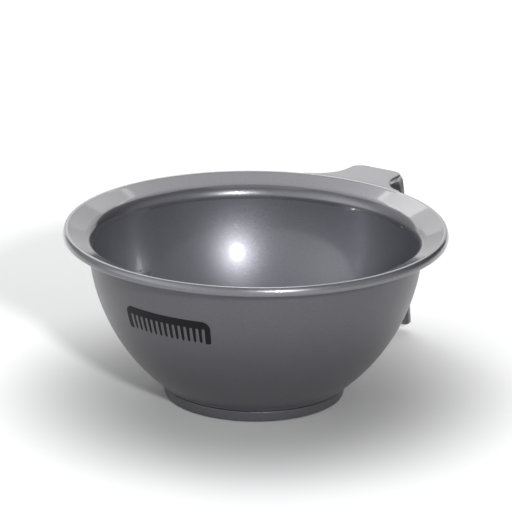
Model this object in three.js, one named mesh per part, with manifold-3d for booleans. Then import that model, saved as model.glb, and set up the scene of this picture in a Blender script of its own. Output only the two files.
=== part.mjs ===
// Hair color bowl: a round mixing bowl with a sloping rim, a foot ring and a hook handle.
// Millimetres, +Z up. The origin is the centre of the non-slip pad's underside, on the bowl's
// axis, so Z = 0 is the table. The hook handle points along +Y.

import * as THREE from 'three';
import { mergeVertices } from 'three/addons/utils/BufferGeometryUtils.js';
import Module from 'manifold-3d';

const wasm = await Module();
wasm.setup();

// ---- driving dimensions -------------------------------------------------------------------

const GAP = 0.3; // clearance left between neighbouring solids
const TURNS = 64; // facets round every turned piece
const SECTION_STEPS = 9; // facets along a long arc of a section
const CORNER_STEPS = 3; // facets along a small rounding

// Bowl: the wall's section is one circular arc, whose centre lies beyond the axis.
const WALL_CENTRE_R = -9.8;
const WALL_CENTRE_Z = 62.7;
const WALL_OUTER_ARC = 72.8;
const WALL_THICKNESS = 2.0;
const WALL_INNER_ARC = WALL_OUTER_ARC - WALL_THICKNESS;
const WALL_TOP_Z = 57.6; // the rim starts here
const FLOOR_TOP_Z = 5.8;
const FLOOR_UNDER_Z = 3.6;
const FLOOR_FILLET = 14.0;

// Rim: a flange that rises outwards and ends in a downturned lip.
const RIM_RADIUS = 72.5;
const RIM_TOP_Z = 65.9;
const FLANGE_SLOPE = THREE.MathUtils.degToRad(22);
const FLANGE_THICKNESS = 2.0;
const FLANGE_OUTER_R = 70.5; // the fine step that runs round the flange
const FLANGE_OUTER_Z = 65.24;
const THROAT_FILLET = 5.5; // rounds the bowl's inner wall into the flange
const UNDER_FILLET = 1.6; // rounds the outer wall into the flange's underside
const LIP_ROUND = 1.0;
const LIP_THICKNESS = 1.9;
const LIP_BOTTOM_Z = 62.6;
const LIP_BOTTOM_ROUND = 0.7;

// Foot ring and non-slip pad
const FOOT_BOTTOM_Z = 0.5; // the pad stands this proud of the foot
const FOOT_TOP_Z = 4.6;
const FOOT_TOP_R = 34.8;
const FOOT_BOTTOM_R = 34.0;
const FOOT_INNER_R = 31.9;
const FOOT_ROUND = 0.5;
const NECK_Z = FOOT_TOP_Z + GAP; // underside of the bowl where it meets the foot
const PAD_RADIUS = 31.4;
const PAD_TOP_Z = FLOOR_UNDER_Z - GAP;
const PAD_ROUND = 0.6;
const PAD_GROOVES = [13, 19, 25]; // radii of the grip grooves' middles
const PAD_GROOVE_WIDTH = 1.6;
const PAD_GROOVE_DEPTH = 0.6;

// Hook handle: a tab level with the rim, bent down into a leg that leans outwards.
const TAB_TOP_Z = 65.8;
const TAB_THICKNESS = 2.6;
const TAB_HALF_WIDTH = 11.2;
const TAB_FLARE = 16.0; // radius of the flares that blend the tab into the rim
const TAB_CORNER = 3.2; // rounds the tab's two outer corners
const TAB_ROOT_Y = 60.0; // the hook is drawn from here, inside the rim, which is cut away
const BEND_OUTER = 2.4;
const BEND_INNER = 1.6;
const LEG_TOP_Y = 92.0; // outer face just under the bend
const LEG_BOTTOM_Y = 94.3; // outer face at the bottom
const LEG_BOTTOM_Z = 2.4;
const LEG_TOP_THICKNESS = 3.0;
const LEG_BOTTOM_THICKNESS = 3.8;
const LEG_HALF_WIDTH = 15.0; // at the bottom; it starts as wide as the tab
const LEG_CORNER = 3.4;
const LEG_JOINT_Z = 60.9; // the tab and its bend end here

// ---- materials ----------------------------------------------------------------------------

const satinGrey = new THREE.MeshStandardMaterial({ color: 0x6f6f73, roughness: 0.45, metalness: 0.4 });
const glossGrey = new THREE.MeshStandardMaterial({ color: 0x8b8a8f, roughness: 0.25, metalness: 0.4 });
const footGrey = new THREE.MeshStandardMaterial({ color: 0x57585d, roughness: 0.35, metalness: 0.4 });
const darkRubber = new THREE.MeshStandardMaterial({ color: 0x2b2b2e, roughness: 0.85, metalness: 0.0 });

// ---- turned pieces ------------------------------------------------------------------------

const point = (r, z) => new THREE.Vector2(r, z);

// Points from angle a to angle b (degrees) on a circle about (r, z) in a section.
function arc(r, z, radius, a, b, steps) {
  const points = [];
  for (let i = 0; i <= steps; i += 1) {
    const angle = THREE.MathUtils.degToRad(a + ((b - a) * i) / steps);
    points.push(point(r + radius * Math.cos(angle), z + radius * Math.sin(angle)));
  }
  return points;
}

// Angle (degrees) at which a wall arc of the given radius passes the height z.
const wallAngle = (radius, z) => THREE.MathUtils.radToDeg(Math.asin((z - WALL_CENTRE_Z) / radius));

// Radius of the bowl wall's inner or outer surface at the height z.
const wallRadius = (radius, z) => WALL_CENTRE_R + Math.sqrt(radius ** 2 - (z - WALL_CENTRE_Z) ** 2);

const wallArc = (radius, zFrom, zTo) =>
  arc(WALL_CENTRE_R, WALL_CENTRE_Z, radius, wallAngle(radius, zFrom), wallAngle(radius, zTo), SECTION_STEPS);

// Revolves a section of (radius, height) points about Z, with the faces pointing out.
function turned(section) {
  const doubleArea = section.reduce((sum, p, i) => {
    const q = section[(i + 1) % section.length];
    return sum + p.x * q.y - q.x * p.y;
  }, 0);
  const points = doubleArea > 0 ? section : [...section].reverse();
  const geometry = new THREE.LatheGeometry(points, TURNS);
  geometry.rotateX(Math.PI / 2);
  return geometry;
}

const closed = (section) => [...section, section[0].clone()];

function bowlBodySection() {
  const filletZ = FLOOR_TOP_Z + FLOOR_FILLET;
  const reach = WALL_INNER_ARC - FLOOR_FILLET;
  const filletR = WALL_CENTRE_R + Math.sqrt(reach ** 2 - (WALL_CENTRE_Z - filletZ) ** 2);
  const filletEnd = THREE.MathUtils.radToDeg(Math.asin((filletZ - WALL_CENTRE_Z) / reach));
  const arcStartZ = WALL_CENTRE_Z + WALL_INNER_ARC * Math.sin(THREE.MathUtils.degToRad(filletEnd));
  const topZ = WALL_TOP_Z - GAP;
  const recessR = FOOT_INNER_R - GAP;
  return [
    point(0, FLOOR_TOP_Z),
    ...arc(filletR, filletZ, FLOOR_FILLET, -90, filletEnd, CORNER_STEPS + 1),
    ...wallArc(WALL_INNER_ARC, arcStartZ, topZ).slice(1),
    ...wallArc(WALL_OUTER_ARC, topZ, NECK_Z),
    point(recessR, NECK_Z),
    point(recessR, FLOOR_UNDER_Z),
    point(0, FLOOR_UNDER_Z),
  ];
}

function rimSection() {
  const slope = THREE.MathUtils.radToDeg(FLANGE_SLOPE);
  const turn = 90 - slope;
  const topAt = (r) => FLANGE_OUTER_Z - (FLANGE_OUTER_R - r) * Math.tan(FLANGE_SLOPE);
  const underAt = (r) => topAt(r) - FLANGE_THICKNESS / Math.cos(FLANGE_SLOPE);
  const filletRun = (radius) => radius * Math.tan(THREE.MathUtils.degToRad(turn / 2));

  const throatR = wallRadius(WALL_INNER_ARC, WALL_TOP_Z);
  const throatZ = topAt(throatR) - filletRun(THROAT_FILLET);
  const outerWallR = wallRadius(WALL_OUTER_ARC, WALL_TOP_Z);
  const underZ = underAt(outerWallR) - filletRun(UNDER_FILLET);
  const lipInnerR = RIM_RADIUS - LIP_THICKNESS;
  const lipRoundR = RIM_RADIUS - LIP_ROUND;
  const lipBottomR = RIM_RADIUS - LIP_BOTTOM_ROUND;
  return closed([
    point(throatR, WALL_TOP_Z),
    ...arc(throatR + THROAT_FILLET, throatZ, THROAT_FILLET, 180, 90 + slope, CORNER_STEPS + 2),
    point(FLANGE_OUTER_R, FLANGE_OUTER_Z),
    ...arc(lipRoundR, RIM_TOP_Z - LIP_ROUND, LIP_ROUND, 90, 0, CORNER_STEPS),
    ...arc(lipBottomR, LIP_BOTTOM_Z + LIP_BOTTOM_ROUND, LIP_BOTTOM_ROUND, 0, -90, CORNER_STEPS),
    point(lipInnerR, LIP_BOTTOM_Z),
    point(lipInnerR, underAt(lipInnerR)),
    ...arc(outerWallR + UNDER_FILLET, underZ, UNDER_FILLET, 90 + slope, 180, CORNER_STEPS),
    point(outerWallR, WALL_TOP_Z),
  ]);
}

function footRingSection() {
  return closed([
    point(FOOT_INNER_R, FOOT_TOP_Z),
    point(FOOT_TOP_R - FOOT_ROUND, FOOT_TOP_Z),
    point(FOOT_TOP_R, FOOT_TOP_Z - FOOT_ROUND),
    ...arc(FOOT_BOTTOM_R - FOOT_ROUND, FOOT_BOTTOM_Z + FOOT_ROUND, FOOT_ROUND, 0, -90, CORNER_STEPS),
    point(FOOT_INNER_R, FOOT_BOTTOM_Z),
  ]);
}

function basePadSection() {
  const half = PAD_GROOVE_WIDTH / 2;
  const grooves = PAD_GROOVES.flatMap((r) => [
    point(r - half, 0),
    point(r - half, PAD_GROOVE_DEPTH),
    point(r + half, PAD_GROOVE_DEPTH),
    point(r + half, 0),
  ]);
  return [
    point(0, 0),
    ...grooves,
    point(PAD_RADIUS - PAD_ROUND, 0),
    point(PAD_RADIUS, PAD_ROUND),
    point(PAD_RADIUS, PAD_TOP_Z),
    point(0, PAD_TOP_Z),
  ];
}

// ---- hook handle --------------------------------------------------------------------------

function solidOf(geometry) {
  geometry.deleteAttribute('normal');
  geometry.deleteAttribute('uv');
  const merged = mergeVertices(geometry, 1e-4);
  return new wasm.Manifold(new wasm.Mesh({
    numProp: 3,
    vertProperties: Float32Array.from(merged.attributes.position.array),
    triVerts: Uint32Array.from(merged.index.array),
  }));
}

function geometryOf(solid) {
  const mesh = solid.getMesh();
  const geometry = new THREE.BufferGeometry();
  geometry.setAttribute('position', new THREE.BufferAttribute(mesh.vertProperties, 3));
  geometry.setIndex(new THREE.BufferAttribute(mesh.triVerts, 1));
  return geometry;
}

// Extrudes an outline by depth, then stands it on the three given directions.
function prism(shape, depth, start, right, up, out) {
  const geometry = new THREE.ExtrudeGeometry(shape, { depth, bevelEnabled: false, curveSegments: 6 });
  geometry.translate(0, 0, start);
  geometry.applyMatrix4(new THREE.Matrix4().makeBasis(right, up, out));
  return solidOf(geometry);
}

const X = new THREE.Vector3(1, 0, 0);
const Y = new THREE.Vector3(0, 1, 0);
const Z = new THREE.Vector3(0, 0, 1);
const SPARE = 2; // how far a cutting shape reaches past what it cuts
const BLANK_WIDTH = 60; // the hook's side view is drawn out this wide, then cut to its outlines

// Side view of the hook, (y, z): the tab, the bend and the leaning leg with its round end.
function hookSideShape() {
  const tabUnderZ = TAB_TOP_Z - TAB_THICKNESS;
  const endRadius = LEG_BOTTOM_THICKNESS / 2;
  const endY = LEG_BOTTOM_Y - endRadius;
  const endZ = LEG_BOTTOM_Z + endRadius;
  const innerTopY = LEG_TOP_Y - LEG_TOP_THICKNESS;
  const shape = new THREE.Shape();
  shape.moveTo(TAB_ROOT_Y, TAB_TOP_Z);
  shape.lineTo(TAB_ROOT_Y, tabUnderZ);
  shape.lineTo(innerTopY - BEND_INNER, tabUnderZ);
  shape.quadraticCurveTo(innerTopY, tabUnderZ, innerTopY, tabUnderZ - BEND_INNER);
  shape.lineTo(endY - endRadius, endZ);
  shape.absarc(endY, endZ, endRadius, Math.PI, 2 * Math.PI, false);
  shape.lineTo(LEG_TOP_Y, TAB_TOP_Z - BEND_OUTER);
  shape.absarc(LEG_TOP_Y - BEND_OUTER, TAB_TOP_Z - BEND_OUTER, BEND_OUTER, 0, Math.PI / 2, false);
  return shape;
}

// Plan view of the tab, (x, y): parallel sides that flare out tangent to the rim's edge.
function tabPlanShape() {
  const flareX = TAB_HALF_WIDTH + TAB_FLARE;
  const flareY = Math.sqrt((RIM_RADIUS + TAB_FLARE) ** 2 - flareX ** 2);
  const meet = Math.atan2(-flareY, -flareX);
  const cornerX = TAB_HALF_WIDTH - TAB_CORNER;
  const cornerY = LEG_TOP_Y - TAB_CORNER;
  const shape = new THREE.Shape();
  shape.moveTo(-flareX, TAB_ROOT_Y - SPARE);
  shape.lineTo(flareX, TAB_ROOT_Y - SPARE);
  shape.absarc(flareX, flareY, TAB_FLARE, meet, -Math.PI, true);
  shape.absarc(cornerX, cornerY, TAB_CORNER, 0, Math.PI / 2, false);
  shape.absarc(-cornerX, cornerY, TAB_CORNER, Math.PI / 2, Math.PI, false);
  shape.absarc(-flareX, flareY, TAB_FLARE, 0, -Math.PI - meet, true);
  return shape;
}

// Front view of the leg, (x, z): widens downwards and ends in two round corners.
function legFrontShape() {
  const bottom = LEG_BOTTOM_Z;
  const cornerZ = bottom + LEG_CORNER;
  const top = LEG_JOINT_Z + SPARE;
  const shape = new THREE.Shape();
  shape.moveTo(-TAB_HALF_WIDTH, top);
  shape.lineTo(-LEG_HALF_WIDTH, cornerZ);
  shape.quadraticCurveTo(-LEG_HALF_WIDTH, bottom, -LEG_HALF_WIDTH + LEG_CORNER, bottom);
  shape.lineTo(LEG_HALF_WIDTH - LEG_CORNER, bottom);
  shape.quadraticCurveTo(LEG_HALF_WIDTH, bottom, LEG_HALF_WIDTH, cornerZ);
  shape.lineTo(TAB_HALF_WIDTH, top);
  return shape;
}

function rectangle(width, length) {
  const shape = new THREE.Shape();
  shape.moveTo(-width / 2, 0);
  shape.lineTo(width / 2, 0);
  shape.lineTo(width / 2, length);
  shape.lineTo(-width / 2, length);
  return shape;
}

function cylinderSolid(radius, height) {
  const geometry = new THREE.CylinderGeometry(radius, radius, height, 2 * TURNS);
  geometry.rotateX(Math.PI / 2);
  return solidOf(geometry);
}

function handleSolids() {
  const inwards = Y.clone().negate();
  const farY = LEG_BOTTOM_Y + SPARE;
  const hook = prism(hookSideShape(), BLANK_WIDTH, -BLANK_WIDTH / 2, Y, Z, X);
  const tabCutter = prism(tabPlanShape(), TAB_TOP_Z + SPARE - LEG_JOINT_Z, LEG_JOINT_Z, X, Y, Z);
  const legCutter = prism(legFrontShape(), farY - TAB_ROOT_Y, -farY, X, Z, inwards);
  const belowJoint = prism(rectangle(BLANK_WIDTH, farY), LEG_JOINT_Z - GAP, 0, X, Y, Z);
  const rimSpace = cylinderSolid(RIM_RADIUS + GAP, 4 * RIM_RADIUS);
  const tab = hook.intersect(tabCutter).subtract(rimSpace);
  const leg = hook.intersect(legCutter).intersect(belowJoint);
  return { tab, leg };
}

// ---- the bowl -----------------------------------------------------------------------------

function named(name, geometry, material) {
  const mesh = new THREE.Mesh(geometry, material);
  mesh.name = name;
  return mesh;
}

function bowl() {
  const group = new THREE.Group();
  const { tab, leg } = handleSolids();
  group.add(named('bowl_body', turned(bowlBodySection()), satinGrey));
  group.add(named('rim_flange', turned(rimSection()), glossGrey));
  group.add(named('foot_ring', turned(footRingSection()), footGrey));
  group.add(named('handle_tab', geometryOf(tab), glossGrey));
  group.add(named('handle_leg', geometryOf(leg), glossGrey));
  group.add(named('base_pad', turned(basePadSection()), darkRubber));
  return group;
}

export default bowl();
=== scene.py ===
"""Looks for the hair color bowl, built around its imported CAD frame.

Sections and outlines are in millimetres, and meshes in metres. +Z is up, Z = 0 is the table, and
the hook handle points along +Y.
"""

import math

import bmesh
import bpy
from mathutils import Matrix, Vector


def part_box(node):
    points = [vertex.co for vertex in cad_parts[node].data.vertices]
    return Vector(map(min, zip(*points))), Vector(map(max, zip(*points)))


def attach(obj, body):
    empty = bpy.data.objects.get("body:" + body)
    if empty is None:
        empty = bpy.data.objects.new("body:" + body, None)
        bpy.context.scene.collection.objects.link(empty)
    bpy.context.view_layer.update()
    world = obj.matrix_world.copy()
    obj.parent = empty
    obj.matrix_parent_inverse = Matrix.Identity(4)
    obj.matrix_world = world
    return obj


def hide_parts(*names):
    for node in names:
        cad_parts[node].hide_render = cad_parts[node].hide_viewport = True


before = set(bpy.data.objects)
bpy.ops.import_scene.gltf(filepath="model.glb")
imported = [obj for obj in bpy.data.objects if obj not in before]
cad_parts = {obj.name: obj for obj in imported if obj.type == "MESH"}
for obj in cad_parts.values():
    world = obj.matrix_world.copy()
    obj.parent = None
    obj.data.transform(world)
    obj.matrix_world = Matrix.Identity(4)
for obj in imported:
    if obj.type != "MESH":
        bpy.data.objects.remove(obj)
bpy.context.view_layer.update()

MM = 0.001  # metres
ML = 1000.0  # cubic millimetres
TURNS = 256  # facets round every turned piece

# ---- sizes, in millimetres -----------------------------------------------------------------


def corners(node):
    """Lowest and highest corner of a CAD node, in millimetres."""
    low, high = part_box(node)
    return low / MM, high / MM


body_low, _ = corners("bowl_body")
rim_low, rim_high = corners("rim_flange")
foot_low, foot_high = corners("foot_ring")
_, pad_high = corners("base_pad")
_, tab_high = corners("handle_tab")
leg_low, leg_high = corners("handle_leg")

GAP = 0.3  # clearance between neighbouring CAD solids

# The wall's section is one arc, centred beyond the axis.
WALL_CENTRE_R = -9.8
WALL_CENTRE_Z = 62.7
WALL_OUTER_ARC = 72.8
WALL_THICKNESS = 2.0
WALL_INNER_ARC = WALL_OUTER_ARC - WALL_THICKNESS
WALL_TOP_Z = rim_low.z
FLOOR_THICKNESS = 2.2
FLOOR_UNDER_Z = body_low.z
FLOOR_TOP_Z = FLOOR_UNDER_Z + FLOOR_THICKNESS
FLOOR_FILLET = 14.0

RIM_RADIUS = rim_high.x
RIM_TOP_Z = rim_high.z
FLANGE_SLOPE = math.radians(22.5)
FLANGE_THICKNESS = 2.0
THROAT_FILLET = 5.5  # rounds the inside wall into the flange
UNDER_FILLET = 1.6  # rounds the outside wall into the flange's underside
STEP_DROP = 0.04  # a fine line where the lip starts
STEP_WIDTH = 0.2

# The lip's roundings, from the flange outwards and down.
LIP_SHOULDER = 1.6
LIP_CROWN = 2.6
LIP_EDGE = 0.5
LIP_FACE = 3.3
LIP_FOOT = 0.5
CROWN_LEAN = 6  # degrees that the crown leans at either end
FACE_TOP = 40  # directions that the outer face points in at its top and bottom, in degrees
FACE_BOTTOM = -10
LIP_THICKNESS = 2.1
LIP_INNER_R = RIM_RADIUS - LIP_THICKNESS
LIP_CHAMFER = 0.3  # on the lip's lower inner edge

FOOT_TAPER = 0.8
FOOT_BOTTOM_R = foot_high.x - FOOT_TAPER
FOOT_INNER_R = 31.9
FOOT_ROUND = 0.5
FOOT_SHOULDER = 0.2
NECK_R = 34.0  # bottom of the groove between the wall and the foot
NECK_Z = foot_high.z + GAP
NECK_INSET = 0.1  # the foot ring's neck stands this far inside the bowl's
NECK_HEADROOM = 0.02  # and this far below it
WALL_END_RISE = 1.3
WALL_END_Z = foot_high.z + WALL_END_RISE  # the wall curls under here
WALL_END_ROUND = 0.7

PAD_GROOVES = (13.0, 19.0, 25.0)
PAD_GROOVE_HALF = 0.8
PAD_GROOVE_DEPTH = 0.6
PAD_GROOVE_SOFTNESS = 0.15  # how far a groove's edges are broken
PAD_ROUND = 0.6

# ---- section helpers -----------------------------------------------------------------------


def arc(r, z, radius, start, end, steps):
    """Points on a circle about (r, z), from angle start to end in degrees."""
    angles = [math.radians(start + (end - start) * i / steps) for i in range(steps + 1)]
    return [(r + radius * math.cos(a), z + radius * math.sin(a)) for a in angles]


def beside(centre, distance, angle):
    """The point at a distance from centre, in a direction given in degrees."""
    turn = math.radians(angle)
    return centre[0] + distance * math.cos(turn), centre[1] + distance * math.sin(turn)


def wall_angle(radius, z):
    """Angle in degrees at which a wall arc of the given radius passes height z."""
    return math.degrees(math.asin((z - WALL_CENTRE_Z) / radius))


def wall_radius(radius, z):
    """Distance from the axis to the wall's inner or outer surface at height z."""
    return WALL_CENTRE_R + math.sqrt(radius**2 - (z - WALL_CENTRE_Z) ** 2)


def wall_arc(radius, z_from, z_to, steps=90):
    start, end = wall_angle(radius, z_from), wall_angle(radius, z_to)
    return arc(WALL_CENTRE_R, WALL_CENTRE_Z, radius, start, end, steps)


def spread(start, end, steps):
    """Evenly spaced points from start up to, but not including, end."""
    return [
        (start[0] + (end[0] - start[0]) * i / steps, start[1] + (end[1] - start[1]) * i / steps)
        for i in range(steps)
    ]


# ---- mesh helpers --------------------------------------------------------------------------


def linked(name, data):
    """An object in the scene that holds the data."""
    made = bpy.data.objects.new(name, data)
    bpy.context.scene.collection.objects.link(made)
    return made


def mesh_object(name, verts, faces, materials, indices=None, smooth_angle=30):
    """A piece from points in millimetres. indices holds each face's place in materials."""
    mesh = bpy.data.meshes.new(name)
    mesh.from_pydata([Vector(v) * MM for v in verts], [], faces)
    for material in materials:
        mesh.materials.append(material)
    if indices:
        mesh.polygons.foreach_set("material_index", indices)
    work = bmesh.new()
    work.from_mesh(mesh)
    bmesh.ops.recalc_face_normals(work, faces=work.faces)
    work.to_mesh(mesh)
    work.free()
    mesh.shade_smooth()
    mesh.set_sharp_from_angle(angle=math.radians(smooth_angle))
    return linked(name, mesh)


def turned(name, runs, materials, closed=True):
    """Revolves a section. runs is a list of (points, material index), joined end to end."""
    section = [(r, z, index) for points, index in runs for r, z in points]
    verts, rings = [], []
    for r, z, _ in section:
        if r == 0:
            rings.append([len(verts)] * TURNS)
            verts.append((0, 0, z))
            continue
        rings.append(list(range(len(verts), len(verts) + TURNS)))
        for i in range(TURNS):
            turn = 2 * math.pi * i / TURNS
            verts.append((r * math.cos(turn), r * math.sin(turn), z))
    faces, indices = [], []
    count = len(rings) if closed else len(rings) - 1
    for k in range(count):
        low, high = rings[k], rings[(k + 1) % len(rings)]
        for i in range(TURNS):
            j = (i + 1) % TURNS
            face = list(dict.fromkeys((low[i], low[j], high[j], high[i])))
            if len(face) > 2:
                faces.append(face)
                indices.append(section[k][2])
    return mesh_object(name, verts, faces, materials, indices)


def keep(piece, slot, *nodes):
    """Puts a finished piece on the bowl's one body, in place of the CAD nodes it stands for."""
    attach(piece, "root")
    if nodes:
        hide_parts(*nodes)
    return piece


# ---- shader helpers ------------------------------------------------------------------------


def new_material(name):
    """A material, its node tree, its shader and the output that gives a point's place."""
    material = bpy.data.materials.new(name)
    material.use_nodes = True
    tree = material.node_tree
    place = tree.nodes.new("ShaderNodeTexCoord").outputs["Object"]
    return material, tree, tree.nodes["Principled BSDF"], place


def noise(tree, place, scale, detail=2.0):
    """Noise from 0 to 1. The scale is in features per metre."""
    texture = tree.nodes.new("ShaderNodeTexNoise")
    texture.inputs["Scale"].default_value = scale
    texture.inputs["Detail"].default_value = detail
    tree.links.new(place, texture.inputs["Vector"])
    return texture.outputs["Fac"]


def tone_between(tree, factor, low, high, start=0.0, end=1.0):
    """A colour that goes from low to high as the factor goes from start to end."""
    ramp = tree.nodes.new("ShaderNodeValToRGB")
    first, last = ramp.color_ramp.elements
    first.position, last.position = start, end
    first.color, last.color = (*low, 1), (*high, 1)
    tree.links.new(factor, ramp.inputs["Fac"])
    return ramp.outputs["Color"]


def vary_roughness(tree, shader, factor, low, high):
    rough = tree.nodes.new("ShaderNodeMapRange")
    rough.inputs["To Min"].default_value = low
    rough.inputs["To Max"].default_value = high
    tree.links.new(factor, rough.inputs["Value"])
    tree.links.new(rough.outputs["Result"], shader.inputs["Roughness"])


def bumped(tree, factor, depth, strength=1.0):
    """A normal roughened by the factor, to a depth in metres."""
    bump = tree.nodes.new("ShaderNodeBump")
    bump.inputs["Strength"].default_value = strength
    bump.inputs["Distance"].default_value = depth
    tree.links.new(factor, bump.inputs["Height"])
    return bump.outputs["Normal"]


def vector_math(tree, operation, *values):
    """A vector operation on values, each an output or a constant."""
    node = tree.nodes.new("ShaderNodeVectorMath")
    node.operation = operation
    for socket, value in zip(node.inputs, values):
        if isinstance(value, bpy.types.NodeSocket):
            tree.links.new(value, socket)
        else:
            socket.default_value = value
    return node


# ---- materials -----------------------------------------------------------------------------

FLAKE_SCALE = 3600.0  # mica flakes per metre
FLAKE_TILT = 0.03  # how much the flakes lean
FLAKE_SPARKLE = 0.18  # how much the flakes differ in tone
BROAD_SCALE = 22.0  # soft unevenness of the tone, in patches per metre
TONE_SPREAD = 0.04  # either way, as a share of the colour
ROUGHNESS_SPREAD = 0.03  # either way
POLYMER_IOR = 1.5


def pearl(name, color, metallic, roughness, coat, coat_roughness, grain, grain_depth):
    """Moulded pearl plastic: mica flakes in the base, under a smooth clear skin."""
    material, tree, shader, place = new_material(name)
    shader.inputs["Metallic"].default_value = metallic
    shader.inputs["Coat Weight"].default_value = coat
    shader.inputs["Coat Roughness"].default_value = coat_roughness
    shader.inputs["IOR"].default_value = POLYMER_IOR

    # Each flake lies at its own slight tilt, on top of the fine moulded grain.
    flakes = tree.nodes.new("ShaderNodeTexVoronoi")
    flakes.inputs["Scale"].default_value = FLAKE_SCALE
    tree.links.new(place, flakes.inputs["Vector"])
    centred = vector_math(tree, "SUBTRACT", flakes.outputs["Color"], (0.5, 0.5, 0.5))
    tilt = vector_math(tree, "SCALE", centred.outputs[0])
    tilt.inputs["Scale"].default_value = FLAKE_TILT
    grained = bumped(tree, noise(tree, place, grain), grain_depth)
    tilted = vector_math(tree, "ADD", grained, tilt.outputs[0])
    unit = vector_math(tree, "NORMALIZE", tilted.outputs[0])
    tree.links.new(unit.outputs[0], shader.inputs["Normal"])

    # Broad soft unevenness in the tone, and a little difference from flake to flake.
    broad = noise(tree, place, BROAD_SCALE, detail=3.0)
    low = [c * (1 - TONE_SPREAD) for c in color]
    high = [c * (1 + TONE_SPREAD) for c in color]
    sparkle = tree.nodes.new("ShaderNodeMix")
    sparkle.data_type = "RGBA"
    sparkle.blend_type = "MULTIPLY"
    sparkle.inputs["Factor"].default_value = FLAKE_SPARKLE
    tone = tone_between(tree, broad, low, high, start=0.3, end=0.7)
    tree.links.new(tone, sparkle.inputs["A"])
    grey = tree.nodes.new("ShaderNodeRGBToBW")
    tree.links.new(flakes.outputs["Color"], grey.inputs["Color"])
    tree.links.new(grey.outputs["Val"], sparkle.inputs["B"])
    tree.links.new(sparkle.outputs["Result"], shader.inputs["Base Color"])
    vary_roughness(tree, shader, broad, roughness - ROUGHNESS_SPREAD, roughness + ROUGHNESS_SPREAD)
    return material


def rubber(name):
    """Matt dark rubber with a dusty surface."""
    material, tree, shader, place = new_material(name)
    shader.inputs["IOR"].default_value = POLYMER_IOR
    dust = noise(tree, place, 900.0, detail=4.0)
    tone = tone_between(tree, dust, (0.016, 0.016, 0.018), (0.034, 0.034, 0.037))
    tree.links.new(tone, shader.inputs["Base Color"])
    vary_roughness(tree, shader, dust, 0.7, 0.9)
    dusty = bumped(tree, dust, depth=0.00005, strength=0.5)
    tree.links.new(dusty, shader.inputs["Normal"])
    return material


def ink(name):
    """Thin black ink, slightly uneven."""
    material, tree, shader, place = new_material(name)
    shader.inputs["Specular IOR Level"].default_value = 0.15
    patches = noise(tree, place, 700.0)
    tone = tone_between(tree, patches, (0.002, 0.002, 0.002), (0.004, 0.004, 0.004))
    tree.links.new(tone, shader.inputs["Base Color"])
    vary_roughness(tree, shader, patches, 0.42, 0.55)
    return material


# The three pearl copies are one plastic. Their roughness and coats are real finishes, but their
# differing colours are painted light and shade. This outside copy is darker, as painted shade.
SATIN = pearl(
    "pearl_satin",
    color=(0.088, 0.0865, 0.0965),
    metallic=0.55,
    roughness=0.38,
    coat=0.10,
    coat_roughness=0.25,
    grain=2600.0,
    grain_depth=0.000003,
)
# The inside copy is lighter and bluer than the outside, as painted light.
INNER = pearl(
    "pearl_inner",
    color=(0.126, 0.127, 0.146),
    metallic=0.60,
    roughness=0.39,
    coat=0.6,
    coat_roughness=0.10,
    grain=900.0,
    grain_depth=0.000001,
)
GLOSS = pearl(
    "pearl_gloss",
    color=(0.117, 0.116, 0.129),
    metallic=0.60,
    roughness=0.33,
    coat=1.0,
    coat_roughness=0.06,
    grain=900.0,
    grain_depth=0.000001,
)
RUBBER = rubber("pad_rubber")
INK = ink("print_ink")

# ---- turned pieces -------------------------------------------------------------------------


def floor_fillet():
    """The floor's fillet into the inside wall: its centre r and z, and its end angle in degrees."""
    z = FLOOR_TOP_Z + FLOOR_FILLET
    reach = WALL_INNER_ARC - FLOOR_FILLET
    r = WALL_CENTRE_R + math.sqrt(reach**2 - (WALL_CENTRE_Z - z) ** 2)
    return r, z, math.degrees(math.asin((z - WALL_CENTRE_Z) / reach))


def fillet_top():
    """Height at which the floor's fillet runs into the inside wall."""
    return WALL_CENTRE_Z + WALL_INNER_ARC * math.sin(math.radians(floor_fillet()[2]))


def bowl_body():
    fillet_r, fillet_z, fillet_end = floor_fillet()
    inside = spread((0, FLOOR_TOP_Z), (fillet_r, FLOOR_TOP_Z), 10)
    inside += arc(fillet_r, fillet_z, FLOOR_FILLET, -90, fillet_end, 28)[:-1]
    inside += wall_arc(WALL_INNER_ARC, fillet_top(), WALL_TOP_Z)
    outside = wall_arc(WALL_OUTER_ARC, WALL_TOP_Z, WALL_END_Z)
    end_r = outside[-1][0] - WALL_END_ROUND
    end_angle = wall_angle(WALL_OUTER_ARC, WALL_END_Z)
    outside += arc(end_r, WALL_END_Z, WALL_END_ROUND, end_angle, -90, 8)[1:]
    outside += [(NECK_R, WALL_END_Z - WALL_END_ROUND), (NECK_R, NECK_Z)]
    recess_r = FOOT_INNER_R - GAP
    outside += [(recess_r, NECK_Z), (recess_r, FLOOR_UNDER_Z), (0, FLOOR_UNDER_Z)]
    runs = [(inside, 0), (outside, 1)]
    piece = turned("bowl_wall_and_floor", runs, [INNER, SATIN], closed=False)
    return keep(piece, "satin_shell", "bowl_body")


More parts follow.
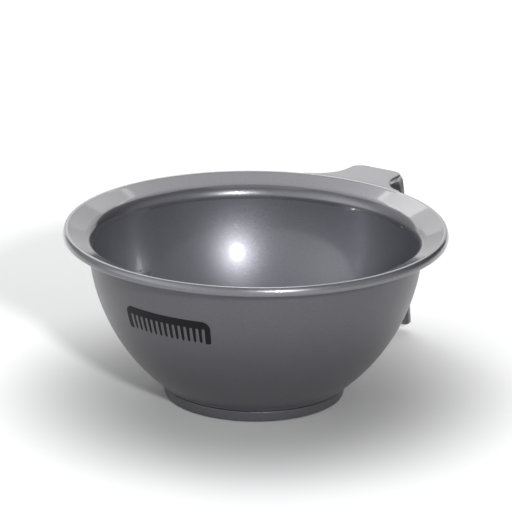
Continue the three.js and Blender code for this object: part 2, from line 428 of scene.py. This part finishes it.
def lip_section():
    """The lip from the flange out over its crown and down to its foot, and its lowest height."""
    face_r = RIM_RADIUS - LIP_FACE
    edge_r, _ = beside((face_r, 0), LIP_FACE - LIP_EDGE, FACE_TOP)
    crown_z = RIM_TOP_Z - LIP_CROWN
    crown_r, _ = beside((edge_r, 0), LIP_EDGE - LIP_CROWN, 90 - CROWN_LEAN)
    _, edge_z = beside((0, crown_z), LIP_CROWN - LIP_EDGE, 90 - CROWN_LEAN)
    _, face_z = beside((0, edge_z), LIP_EDGE - LIP_FACE, FACE_TOP)
    shoulder = beside((crown_r, crown_z), LIP_CROWN - LIP_SHOULDER, 90 + CROWN_LEAN)
    foot_centre = beside((face_r, face_z), LIP_FACE - LIP_FOOT, FACE_BOTTOM)
    flange_side = 90 + math.degrees(FLANGE_SLOPE)
    lip = arc(*shoulder, LIP_SHOULDER, flange_side, 90 + CROWN_LEAN, 8)[:-1]
    lip += arc(crown_r, crown_z, LIP_CROWN, 90 + CROWN_LEAN, 90 - CROWN_LEAN, 6)[:-1]
    lip += arc(edge_r, edge_z, LIP_EDGE, 90 - CROWN_LEAN, FACE_TOP, 6)[:-1]
    lip += arc(face_r, face_z, LIP_FACE, FACE_TOP, FACE_BOTTOM, 16)[:-1]
    lip += arc(*foot_centre, LIP_FOOT, FACE_BOTTOM, -90, 8)
    return lip, foot_centre[1] - LIP_FOOT


def rim():
    slope = math.degrees(FLANGE_SLOPE)
    lip, bottom_z = lip_section()
    step_r = lip[0][0] - STEP_WIDTH
    step_z = lip[0][1] - STEP_WIDTH * math.tan(FLANGE_SLOPE) - STEP_DROP

    def top_at(r):
        return step_z - (step_r - r) * math.tan(FLANGE_SLOPE)

    def under_at(r):
        return top_at(r) - FLANGE_THICKNESS / math.cos(FLANGE_SLOPE)

    def fillet_run(radius):
        return radius * math.tan(math.radians((90 - slope) / 2))

    throat_r = wall_radius(WALL_INNER_ARC, WALL_TOP_Z)
    throat_z = top_at(throat_r) - fillet_run(THROAT_FILLET)
    wall_r = wall_radius(WALL_OUTER_ARC, WALL_TOP_Z)
    under_z = under_at(wall_r) - fillet_run(UNDER_FILLET)
    throat = arc(throat_r + THROAT_FILLET, throat_z, THROAT_FILLET, 180, 90 + slope, 28)
    flange = spread(throat[-1], (step_r, step_z), 12)[1:] + [(step_r, step_z)]
    top = [(throat_r, WALL_TOP_Z)] + throat + flange + lip
    below = [(LIP_INNER_R + LIP_CHAMFER, bottom_z), (LIP_INNER_R, bottom_z + LIP_CHAMFER)]
    below += [(LIP_INNER_R, under_at(LIP_INNER_R))]
    below += arc(wall_r + UNDER_FILLET, under_z, UNDER_FILLET, 90 + slope, 180, 10)
    below += [(wall_r, WALL_TOP_Z)]
    piece = turned("rim_flange_and_lip", [(top, 0), (below, 1)], [GLOSS, SATIN])
    return keep(piece, "gloss_shell", "rim_flange")


def foot():
    top_r, top_z, bottom_z = foot_high.x, foot_high.z, foot_low.z
    neck_r, neck_z = NECK_R - NECK_INSET, NECK_Z - NECK_HEADROOM
    section = [(FOOT_INNER_R, neck_z), (neck_r, neck_z), (neck_r, top_z)]
    section += arc(top_r - FOOT_SHOULDER, top_z - FOOT_SHOULDER, FOOT_SHOULDER, 90, 0, 6)
    section += arc(FOOT_BOTTOM_R - FOOT_ROUND, bottom_z + FOOT_ROUND, FOOT_ROUND, 0, -90, 8)
    section += [(FOOT_INNER_R, bottom_z)]
    return keep(turned("foot_ring_turned", [(section, 0)], [SATIN]), "satin_shell", "foot_ring")


def pad():
    soft = PAD_GROOVE_SOFTNESS
    section = [(0, 0)]
    for r in PAD_GROOVES:
        inner, outer = r - PAD_GROOVE_HALF, r + PAD_GROOVE_HALF
        section += [(inner - soft, 0), (inner, soft), (inner + soft, PAD_GROOVE_DEPTH)]
        section += [(outer - soft, PAD_GROOVE_DEPTH), (outer, soft), (outer + soft, 0)]
    section += arc(pad_high.x - PAD_ROUND, PAD_ROUND, PAD_ROUND, -90, 0, 6)
    section += [(pad_high.x, pad_high.z), (0, pad_high.z)]
    piece = turned("non_slip_pad", [(section, 0)], [RUBBER], closed=False)
    return keep(piece, "pad_rubber", "base_pad")


# ---- hook handle ---------------------------------------------------------------------------

TAB_TOP_Z = tab_high.z
TAB_THICKNESS = 2.6
TAB_UNDER_Z = TAB_TOP_Z - TAB_THICKNESS
TAB_HALF_WIDTH = 11.2
TAB_EDGE = 1.0  # rounding of the tab's edges
TAB_INSET = 1.5
ROOT_R = RIM_RADIUS - TAB_INSET  # the tab starts inside the lip

# Arcs blend the tab's sides into the rim. They are centred at (-FLARE_X, FLARE_Y) and its mirror.
TAB_FLARE = 16.0
FLARE_X = TAB_HALF_WIDTH + TAB_FLARE
FLARE_Y = math.sqrt((RIM_RADIUS + TAB_FLARE) ** 2 - FLARE_X**2)

LEG_TOP_Y = tab_high.y
LEG_BOTTOM_Y = leg_high.y
LEG_BOTTOM_Z = leg_low.z
LEG_TOP_THICKNESS = 3.0
LEG_BOTTOM_THICKNESS = 3.8
LEG_HALF_WIDTH = leg_high.x
LEG_CORNER = 2.1  # height of the end's two round corners
LEG_CORNER_STRETCH = 2.2  # how much wider than high they are
LEG_OUTER_EDGE = 2.5
LEG_INNER_EDGE = 0.5

# The bend's outer and inner faces are arcs of their own, with these radii and centres.
BEND_OUTER = 1.6
BEND_INNER = 3.0
BEND_OUTER_Y = LEG_TOP_Y - BEND_OUTER
BEND_OUTER_Z = TAB_TOP_Z - BEND_OUTER
BEND_INNER_Y = LEG_TOP_Y - LEG_TOP_THICKNESS - BEND_INNER
BEND_INNER_Z = TAB_UNDER_Z - BEND_INNER
BEND_EDGE = 0.9 * LEG_OUTER_EDGE  # rounding of the outer edges where the bend starts

# The hook narrows round the bend, which rounds its two outer corners seen from above.
BEND_NARROWING = 1.3
TAB_END_NARROWING = 0.5  # shares of it where the bend starts, and where it ends
LEG_TOP_NARROWING = 0.4
LEG_NARROW_PART = 0.125  # it is gone this share of the way down the leg

FLARE_STEPS = 18
TAB_STEPS = 8
BEND_STEPS = 12
LEG_STEPS = 16
LEG_END_STEPS = 14
LEG_END_LIFT = 0.01  # the last section stands this far above the leg's lowest point
FACE_STEPS = 24  # facets across each face of a section
CORNER_STEPS = 8
EDGE_LIMIT = 1.7  # an outer edge is at most this many half-thicknesses deep
EDGE_STRETCH = 0.6  # power by which a large outer edge is wider than deep


def rounded_outline(half_width, half_depth, outer_edge, inner_edge):
    """Points round a plate's cross-section, as (across, towards the outer face).

    The first half is the outer face from left to right, and the second half is the inner face from
    right to left.
    """
    outer_edge = min(outer_edge, EDGE_LIMIT * half_depth)
    side_edge = min(outer_edge * (outer_edge / TAB_EDGE) ** EDGE_STRETCH, half_width)
    inner_edge = min(inner_edge, 2 * half_depth - outer_edge)
    shares = [2 * i / FACE_STEPS - 1 for i in range(1, FACE_STEPS)]
    across, depth = half_width - side_edge, half_depth - outer_edge
    corner = arc(0, 0, 1, 90, 0, CORNER_STEPS)
    points = [(-across - side_edge * u, depth + outer_edge * v) for u, v in reversed(corner)]
    points += [(across * share, half_depth) for share in shares]
    points += [(across + side_edge * u, depth + outer_edge * v) for u, v in corner]
    across, depth = half_width - inner_edge, inner_edge - half_depth
    points += arc(across, depth, inner_edge, 0, -90, CORNER_STEPS)
    points += [(-across * share, -half_depth) for share in shares]
    points += arc(-across, depth, inner_edge, -90, -180, CORNER_STEPS)
    return points


def rim_sag(x):
    """How far the rim's edge has fallen back at a distance x from the middle."""
    return RIM_RADIUS - math.sqrt(RIM_RADIUS**2 - x**2)


def bend_narrowing(share):
    """How much the half-width loses, share of the way round the bend."""
    slope = 1 + LEG_TOP_NARROWING - TAB_END_NARROWING
    return BEND_NARROWING * (TAB_END_NARROWING + slope * share - share**2)


# Each station along the hook is a cross-section: its outer point and inner point, as (y, z), its
# half-width, the rounding of its outer and inner edges, and how much it follows the rim's curve.


def flare_stations():
    """From inside the lip to the end of the flares."""
    full = math.atan2(FLARE_Y, FLARE_X)
    root_width = FLARE_X - TAB_FLARE * math.cos(full)
    stations = [((ROOT_R, TAB_TOP_Z), (ROOT_R, TAB_UNDER_Z), root_width, TAB_EDGE, TAB_EDGE, 1.0)]
    for i in range(FLARE_STEPS + 1):
        angle = full * (1 - i / FLARE_STEPS)
        width = FLARE_X - TAB_FLARE * math.cos(angle)
        bow = angle / full
        y = FLARE_Y - TAB_FLARE * math.sin(angle) + bow * rim_sag(width)
        stations.append(((y, TAB_TOP_Z), (y, TAB_UNDER_Z), width, TAB_EDGE, TAB_EDGE, bow))
    return stations


def tab_stations():
    """The straight tab, whose width and outer edges change only close to the bend."""
    stations = []
    for i in range(1, TAB_STEPS):
        share = i / TAB_STEPS
        late = share**4
        outer = (FLARE_Y + (BEND_OUTER_Y - FLARE_Y) * share, TAB_TOP_Z)
        inner = (FLARE_Y + (BEND_INNER_Y - FLARE_Y) * share, TAB_UNDER_Z)
        edge = TAB_EDGE + (BEND_EDGE - TAB_EDGE) * late
        width = TAB_HALF_WIDTH - bend_narrowing(0) * late
        stations.append((outer, inner, width, edge, LEG_INNER_EDGE, 0))
    return stations


def bend_stations():
    """The right-angled bend from the tab down into the leg."""
    stations = []
    for i in range(BEND_STEPS + 1):
        share = i / BEND_STEPS
        angle = math.pi / 2 * i / BEND_STEPS
        side, up = math.sin(angle), math.cos(angle)
        outer = (BEND_OUTER_Y + BEND_OUTER * side, BEND_OUTER_Z + BEND_OUTER * up)
        inner = (BEND_INNER_Y + BEND_INNER * side, BEND_INNER_Z + BEND_INNER * up)
        edge = BEND_EDGE + (LEG_OUTER_EDGE - BEND_EDGE) * share
        width = TAB_HALF_WIDTH - bend_narrowing(share)
        stations.append((outer, inner, width, edge, LEG_INNER_EDGE, 0))
    return stations


def leg_heights(top_z):
    """Heights of the leg's sections, which lie closer together round its end."""
    round_height = LEG_BOTTOM_THICKNESS / 2 + LEG_CORNER
    straight = LEG_BOTTOM_Z + round_height - top_z
    heights = [top_z + straight * i / LEG_STEPS for i in range(1, LEG_STEPS + 1)]
    for i in range(1, LEG_END_STEPS):
        rise = 1 - math.sin(math.pi / 2 * i / LEG_END_STEPS)
        heights.append(LEG_BOTTOM_Z + round_height * rise)
    return heights + [LEG_BOTTOM_Z + LEG_END_LIFT]


def leg_stations(top_outer, top_inner):
    """The leg leans out and widens, and its end is rounded both ways."""
    outer_top_y, outer_top_z = top_outer
    inner_top_y, inner_top_z = top_inner
    inner_bottom_y = LEG_BOTTOM_Y - LEG_BOTTOM_THICKNESS
    end_round = LEG_BOTTOM_THICKNESS / 2
    end_z = LEG_BOTTOM_Z + end_round
    stations = []
    for z in leg_heights(outer_top_z):
        share = min((outer_top_z - z) / (outer_top_z - end_z), 1.0)
        outer_y = outer_top_y + (LEG_BOTTOM_Y - outer_top_y) * share
        inner_y = inner_top_y + (inner_bottom_y - inner_top_y) * share
        inner_z = z - (outer_top_z - inner_top_z) * (1 - share)
        width = TAB_HALF_WIDTH + (LEG_HALF_WIDTH - TAB_HALF_WIDTH) * share
        width -= bend_narrowing(1) * max(0.0, 1 - share / LEG_NARROW_PART) ** 2
        rise = z - LEG_BOTTOM_Z
        if rise < LEG_CORNER:
            cut = LEG_CORNER - math.sqrt(LEG_CORNER**2 - (LEG_CORNER - rise) ** 2)
            width -= LEG_CORNER_STRETCH * cut
        if rise < end_round:
            middle = (outer_y + inner_y) / 2
            half = math.sqrt(end_round**2 - (end_round - rise) ** 2)
            outer_y, inner_y = middle + half, middle - half
        outer, inner = (outer_y, z), (inner_y, inner_z)
        stations.append((outer, inner, width, LEG_OUTER_EDGE, LEG_INNER_EDGE, 0))
    return stations


def handle():
    """One smooth loft over the tab and the leg."""
    bend = bend_stations()
    stations = flare_stations() + tab_stations() + bend + leg_stations(*bend[-1][:2])
    verts, faces = [], []
    for outer, inner, width, outer_edge, inner_edge, bow in stations:
        middle = ((outer[0] + inner[0]) / 2, (outer[1] + inner[1]) / 2)
        half = math.dist(outer, inner) / 2
        normal = ((outer[0] - middle[0]) / half, (outer[1] - middle[1]) / half)
        for x, n in rounded_outline(width, half, outer_edge, inner_edge):
            y = middle[0] + n * normal[0] - bow * rim_sag(x)
            verts.append((x, y, middle[1] + n * normal[1]))
    size = len(verts) // len(stations)
    last = len(verts) - size
    for a in range(0, last, size):
        b = a + size
        for i in range(size):
            j = (i + 1) % size
            faces.append((a + i, a + j, b + j, b + i))
    for first, step in ((0, 1), (last, -1)):
        for i in range(size // 2 - 1):
            cap = (first + i, first + i + 1, first + size - 2 - i, first + size - 1 - i)
            faces.append(cap[::step])
    piece = mesh_object("hook_handle", verts, faces, [GLOSS], smooth_angle=40)
    return keep(piece, "gloss_shell", "handle_tab", "handle_leg")


# ---- draped marks --------------------------------------------------------------------------

DIGIT_SHARE = 0.72  # height of a digit, as a share of the font's size


def outline_curve(outline, thickness):
    """A closed outline in millimetres, filled and given a thickness."""
    curve = bpy.data.curves.new("outline", "CURVE")
    curve.dimensions = "2D"
    curve.fill_mode = "BOTH"
    curve.extrude = thickness / 2
    spline = curve.splines.new("POLY")
    spline.points.add(len(outline) - 1)
    for point, (x, y) in zip(spline.points, outline):
        point.co = (x, y, 0, 1)
    spline.use_cyclic_u = True
    return curve


def digits_curve(digits, height, thickness):
    """Digits of the given height in millimetres, centred and given a thickness."""
    curve = bpy.data.curves.new("digits", "FONT")
    curve.body = digits
    curve.size = height / DIGIT_SHARE
    curve.extrude = thickness / 2
    curve.align_x = "CENTER"
    curve.align_y = "CENTER"
    curve.resolution_u = 6
    return curve


def as_mesh(curve):
    """A curve's filled, extruded shape."""
    holder = linked("holder", curve)
    bpy.context.view_layer.update()
    mesh = bpy.data.meshes.new_from_object(holder)
    bpy.data.objects.remove(holder)
    return mesh


def cut_every_millimetre(work):
    """Cuts a flat mesh both ways, so that it bends with the wall."""
    for axis in (Vector((1, 0, 0)), Vector((0, 1, 0))):
        reach = [v.co.dot(axis) for v in work.verts]
        for i in range(1, int(max(reach) - min(reach)) + 1):
            place = axis * (min(reach) + i)
            geometry = work.verts[:] + work.edges[:] + work.faces[:]
            bmesh.ops.bisect_plane(work, geom=geometry, plane_co=place, plane_no=axis, dist=1e-6)


def drape(name, mesh, azimuth, z, inside, material):
    """Lays a flat mesh, in millimetres, on the wall: x runs to the right, y up, z off the wall."""
    work = bmesh.new()
    work.from_mesh(mesh)
    bmesh.ops.remove_doubles(work, verts=work.verts, dist=1e-5)
    cut_every_millimetre(work)
    radius = WALL_INNER_ARC if inside else WALL_OUTER_ARC
    start = math.asin((z - WALL_CENTRE_Z) / radius)
    base_r = wall_radius(radius, z)
    for v in work.verts:
        across, up, off = v.co
        rise = start + up / radius
        arm = radius - off if inside else radius + off
        r = WALL_CENTRE_R + arm * math.cos(rise)
        turn = azimuth - across / base_r if inside else azimuth + across / base_r
        height = WALL_CENTRE_Z + arm * math.sin(rise)
        v.co = Vector((r * math.cos(turn), r * math.sin(turn), height)) * MM
    bmesh.ops.recalc_face_normals(work, faces=work.faces)
    made = bpy.data.meshes.new(name)
    work.to_mesh(made)
    work.free()
    made.materials.append(material)
    return linked(name, made)


MARK_AZIMUTH = math.radians(172)  # where the volume marks climb the inside wall
MARK_VOLUMES = (50, 100, 150, 200)  # millilitres
MARK_RAISE = 0.45
MARK_LIFT = 1.0  # the marks stand this far above the level worked out from the inside shape
TICK_LENGTH = 5.8
TICK_HEIGHT = 0.7
DIGIT_HEIGHT = 2.8
DIGIT_DROP = 2.6  # middle of the digits, below their line


def height_of(volume):
    """Height of the surface of a volume in millilitres, from the inside profile."""
    fillet_r, fillet_z, _ = floor_fillet()
    step, z, filled = 0.05, FLOOR_TOP_Z, 0.0
    while filled < volume * ML:
        r = wall_radius(WALL_INNER_ARC, z)
        if z < fillet_top():
            r = fillet_r + math.sqrt(max(0.0, FLOOR_FILLET**2 - (fillet_z - z) ** 2))
        filled += math.pi * r * r * step
        z += step
    return z


def volume_marks():
    """A short raised line at each volume, with its number below."""
    across, half = TICK_LENGTH / 2, TICK_HEIGHT / 2
    tick = [(-across, -half), (across, -half), (across, half), (-across, half)]
    for volume in MARK_VOLUMES:
        line = as_mesh(outline_curve(tick, 2 * MARK_RAISE))
        digits = as_mesh(digits_curve(str(volume), DIGIT_HEIGHT, 2 * MARK_RAISE))
        z = height_of(volume) + MARK_LIFT
        for name, mesh, drop in (("line", line, 0), ("digits", digits, DIGIT_DROP)):
            piece_name = f"volume_{name}_{volume}"
            piece = drape(piece_name, mesh, MARK_AZIMUTH, z - drop, inside=True, material=INNER)
            keep(piece, "gloss_shell")


PRINT_AZIMUTH = math.radians(-90.5)
PRINT_Z = 43.5
PRINT_THICKNESS = 0.08
COMB_LENGTH = 37.0
COMB_SPINE = 3.2
COMB_HEIGHT = 9.6
COMB_TEETH = 13
COMB_GUARD = 2.2  # width of the end teeth
COMB_CORNER = 0.8  # rounding of the end teeth
TOOTH_WIDTH = 0.55  # share of the pitch
TOOTH_POINT = 0.9  # height of a tooth's pointed end
TOOTH_TAPER = 0.1  # share of its width that a tooth loses on each side, down to its point


def comb_outline():
    """A comb seen flat: a round-ended spine over a row of pointed teeth."""
    left, right = -COMB_LENGTH / 2, COMB_LENGTH / 2
    top, bottom = COMB_HEIGHT / 2, -COMB_HEIGHT / 2
    root = top - COMB_SPINE
    outline = arc(left + COMB_SPINE, root, COMB_SPINE, 180, 90, 8)
    outline += arc(right - COMB_SPINE, root, COMB_SPINE, 90, 0, 8)
    outline += arc(right - COMB_CORNER, bottom + COMB_CORNER, COMB_CORNER, 0, -90, 4)
    outline += [(right - COMB_GUARD, bottom), (right - COMB_GUARD, root)]
    pitch = (COMB_LENGTH - 2 * COMB_GUARD) / (COMB_TEETH + 0.5)
    width = pitch * TOOTH_WIDTH
    shoulder = bottom + TOOTH_POINT
    for i in reversed(range(COMB_TEETH)):
        x = left + COMB_GUARD + pitch * (i + 0.5)
        outline += [(x + width, root), (x + width * (1 - TOOTH_TAPER), shoulder)]
        outline += [(x + width / 2, bottom), (x + width * TOOTH_TAPER, shoulder), (x, root)]
    outline += [(left + COMB_GUARD, root), (left + COMB_GUARD, bottom)]
    outline += arc(left + COMB_CORNER, bottom + COMB_CORNER, COMB_CORNER, -90, -180, 4)
    return outline


def printed_mark():
    mesh = as_mesh(outline_curve(comb_outline(), PRINT_THICKNESS))
    piece = drape("printed_comb_mark", mesh, PRINT_AZIMUTH, PRINT_Z, inside=False, material=INK)
    return keep(piece, "print_ink")


# ---- camera, in metres ---------------------------------------------------------------------

VIEW_AZIMUTH = math.radians(32.4)  # 0 looks along +Y
VIEW_ELEVATION = math.radians(18.37)
VIEW_ROLL = math.radians(0.64)
VIEW_DISTANCE = 1.4506
VIEW_LENS = 271.7  # millimetres
VIEW_SENSOR = 36.0  # millimetres
AIM_RIGHT = 0.00017  # the aim point, from the centre of the rim's top
AIM_UP = -0.01110

AWAY = Vector((-math.sin(VIEW_AZIMUTH), math.cos(VIEW_AZIMUTH), 0))
RIGHT = Vector((math.cos(VIEW_AZIMUTH), math.sin(VIEW_AZIMUTH), 0))
UP = Vector((0, 0, 1))


def camera():
    forward = AWAY * math.cos(VIEW_ELEVATION) - UP * math.sin(VIEW_ELEVATION)
    up = AWAY * math.sin(VIEW_ELEVATION) + UP * math.cos(VIEW_ELEVATION)
    aim = UP * (RIM_TOP_Z * MM) + RIGHT * AIM_RIGHT + up * AIM_UP
    rolled_right = RIGHT * math.cos(VIEW_ROLL) + up * math.sin(VIEW_ROLL)
    rolled_up = up * math.cos(VIEW_ROLL) - RIGHT * math.sin(VIEW_ROLL)
    data = bpy.data.cameras.new("view")
    data.sensor_width = VIEW_SENSOR
    data.lens = VIEW_LENS
    view = linked("view", data)
    turn = Matrix((rolled_right, rolled_up, -forward)).transposed().to_4x4()
    view.matrix_world = Matrix.Translation(aim - forward * VIEW_DISTANCE) @ turn
    bpy.context.scene.camera = view


# ---- lights and floor, in metres -----------------------------------------------------------

LIGHT_AIM = 0.04  # height that the lights point at
ROOM_COLOR = (0.97, 0.98, 1.0, 1)
FLOOR_RADIUS = 8.0
PAINTED_SHADOW_START = 0.045  # the floor's painted shadow fades into the pale floor between these distances from the axis
PAINTED_SHADOW_END = 0.12
# Tones of the painted shadow close round the bowl, and of the pale floor beyond it.
PAINTED_SHADOW_FLOOR = 0.4
PALE_FLOOR = 0.85

# Soft bright sides of the room: azimuth, elevation and spread in degrees, then strength.
GLOWS = (
    (-52, 5, 60, 1.4),
    (-70, 0, 40, 0.8),
    (60, 5, 55, 0.58),
    (0, 5, 55, 0.25),
    (-90, 40, 50, 0.4),
    (90, 40, 50, 0.08),
)
# Area lights: name, azimuth, elevation, distance, width, height, watts.
PANELS = (
    ("overhead", 0, 89.9, 2.0, 1.456, 1.456, 4.4),
    ("front_high", 0, 60, 2.0, 1.456, 1.456, 2.0),
    ("back_top", 180, 72, 2.0, 2.5, 0.705, 7.8),
    ("back_high", 180, 53, 2.0, 2.5, 0.634, 8.0),
    ("back_upper_left", -164, 37, 2.0, 1.147, 0.491, 5.8),
    ("back_upper_right", 164, 37, 2.0, 1.147, 0.491, 3.4),
    ("back_middle_left", -164, 22.5, 2.0, 1.147, 0.527, 2.6),
    ("back_middle_right", 164, 22.5, 2.0, 1.147, 0.527, 2.1),
    ("back_low_left", -164, 7.5, 2.0, 1.147, 0.527, 1.5),
    ("back_low_right", 164, 7.5, 2.0, 1.147, 0.527, 1.5),
    ("side_left", -130, 22, 2.0, 1.865, 1.616, 4.2),
)
# The small round light that makes the highlight inside the bowl.
KEY = ("key", 15, 24.4, 1.6, 0.17, 0.17, 25.5)


def toward(azimuth, elevation):
    """A direction from the bowl. Azimuth 0 is the camera's side, and positive is to its right."""
    a, e = math.radians(azimuth), math.radians(elevation)
    return (-AWAY * math.cos(a) + RIGHT * math.sin(a)) * math.cos(e) + UP * math.sin(e)


def softbox(name, azimuth, elevation, distance, width, height, watts, shape="RECTANGLE"):
    """A light aimed at the bowl."""
    direction = toward(azimuth, elevation)
    data = bpy.data.lights.new(name, "AREA")
    data.shape = shape
    data.size, data.size_y = width, height
    data.energy = watts
    light = linked(name, data)
    light.location = UP * LIGHT_AIM + direction * distance
    light.rotation_euler = direction.to_track_quat("Z", "Y").to_euler()


def smooth_fade(tree, value):
    """A soft step between two values, whose ends the caller sets."""
    fade = tree.nodes.new("ShaderNodeMapRange")
    fade.interpolation_type = "SMOOTHSTEP"
    tree.links.new(value, fade.inputs["Value"])
    return fade


def floor():
    """A pale floor with a painted shadow: greyer close round the bowl."""
    bpy.ops.mesh.primitive_circle_add(vertices=96, radius=FLOOR_RADIUS, fill_type="NGON")
    ground = bpy.context.object
    ground.name = "pale_floor"
    material, tree, shader, place = new_material("pale_floor")
    fade = smooth_fade(tree, vector_math(tree, "LENGTH", place).outputs["Value"])
    fade.inputs["From Min"].default_value = PAINTED_SHADOW_START
    fade.inputs["From Max"].default_value = PAINTED_SHADOW_END
    fade.inputs["To Min"].default_value = PAINTED_SHADOW_FLOOR
    fade.inputs["To Max"].default_value = PALE_FLOOR
    tree.links.new(fade.outputs["Result"], shader.inputs["Base Color"])
    shader.inputs["Roughness"].default_value = 0.9
    shader.inputs["Specular IOR Level"].default_value = 0.1
    ground.data.materials.append(material)


def room():
    """A dark room with soft bright sides."""
    world = bpy.data.worlds.new("studio")
    world.use_nodes = True
    tree = world.node_tree
    place = tree.nodes.new("ShaderNodeTexCoord").outputs["Generated"]
    back = tree.nodes["Background"]
    total = None
    for azimuth, elevation, spread_angle, strength in GLOWS:
        facing = vector_math(tree, "DOT_PRODUCT", place, toward(azimuth, elevation))
        fade = smooth_fade(tree, facing.outputs["Value"])
        fade.inputs["From Min"].default_value = math.cos(math.radians(spread_angle))
        fade.inputs["To Max"].default_value = strength
        glow = fade.outputs["Result"]
        if total:
            add = tree.nodes.new("ShaderNodeMath")
            tree.links.new(total, add.inputs[0])
            tree.links.new(glow, add.inputs[1])
            glow = add.outputs["Value"]
        total = glow
    back.inputs["Color"].default_value = ROOM_COLOR
    tree.links.new(total, back.inputs["Strength"])
    bpy.context.scene.world = world


def studio():
    bpy.context.scene.view_settings.view_transform = "Standard"
    floor()
    room()
    for panel in PANELS:
        softbox(*panel)
    softbox(*KEY, shape="DISK")


camera()
bowl_body()
rim()
foot()
pad()
handle()
volume_marks()
printed_mark()
studio()
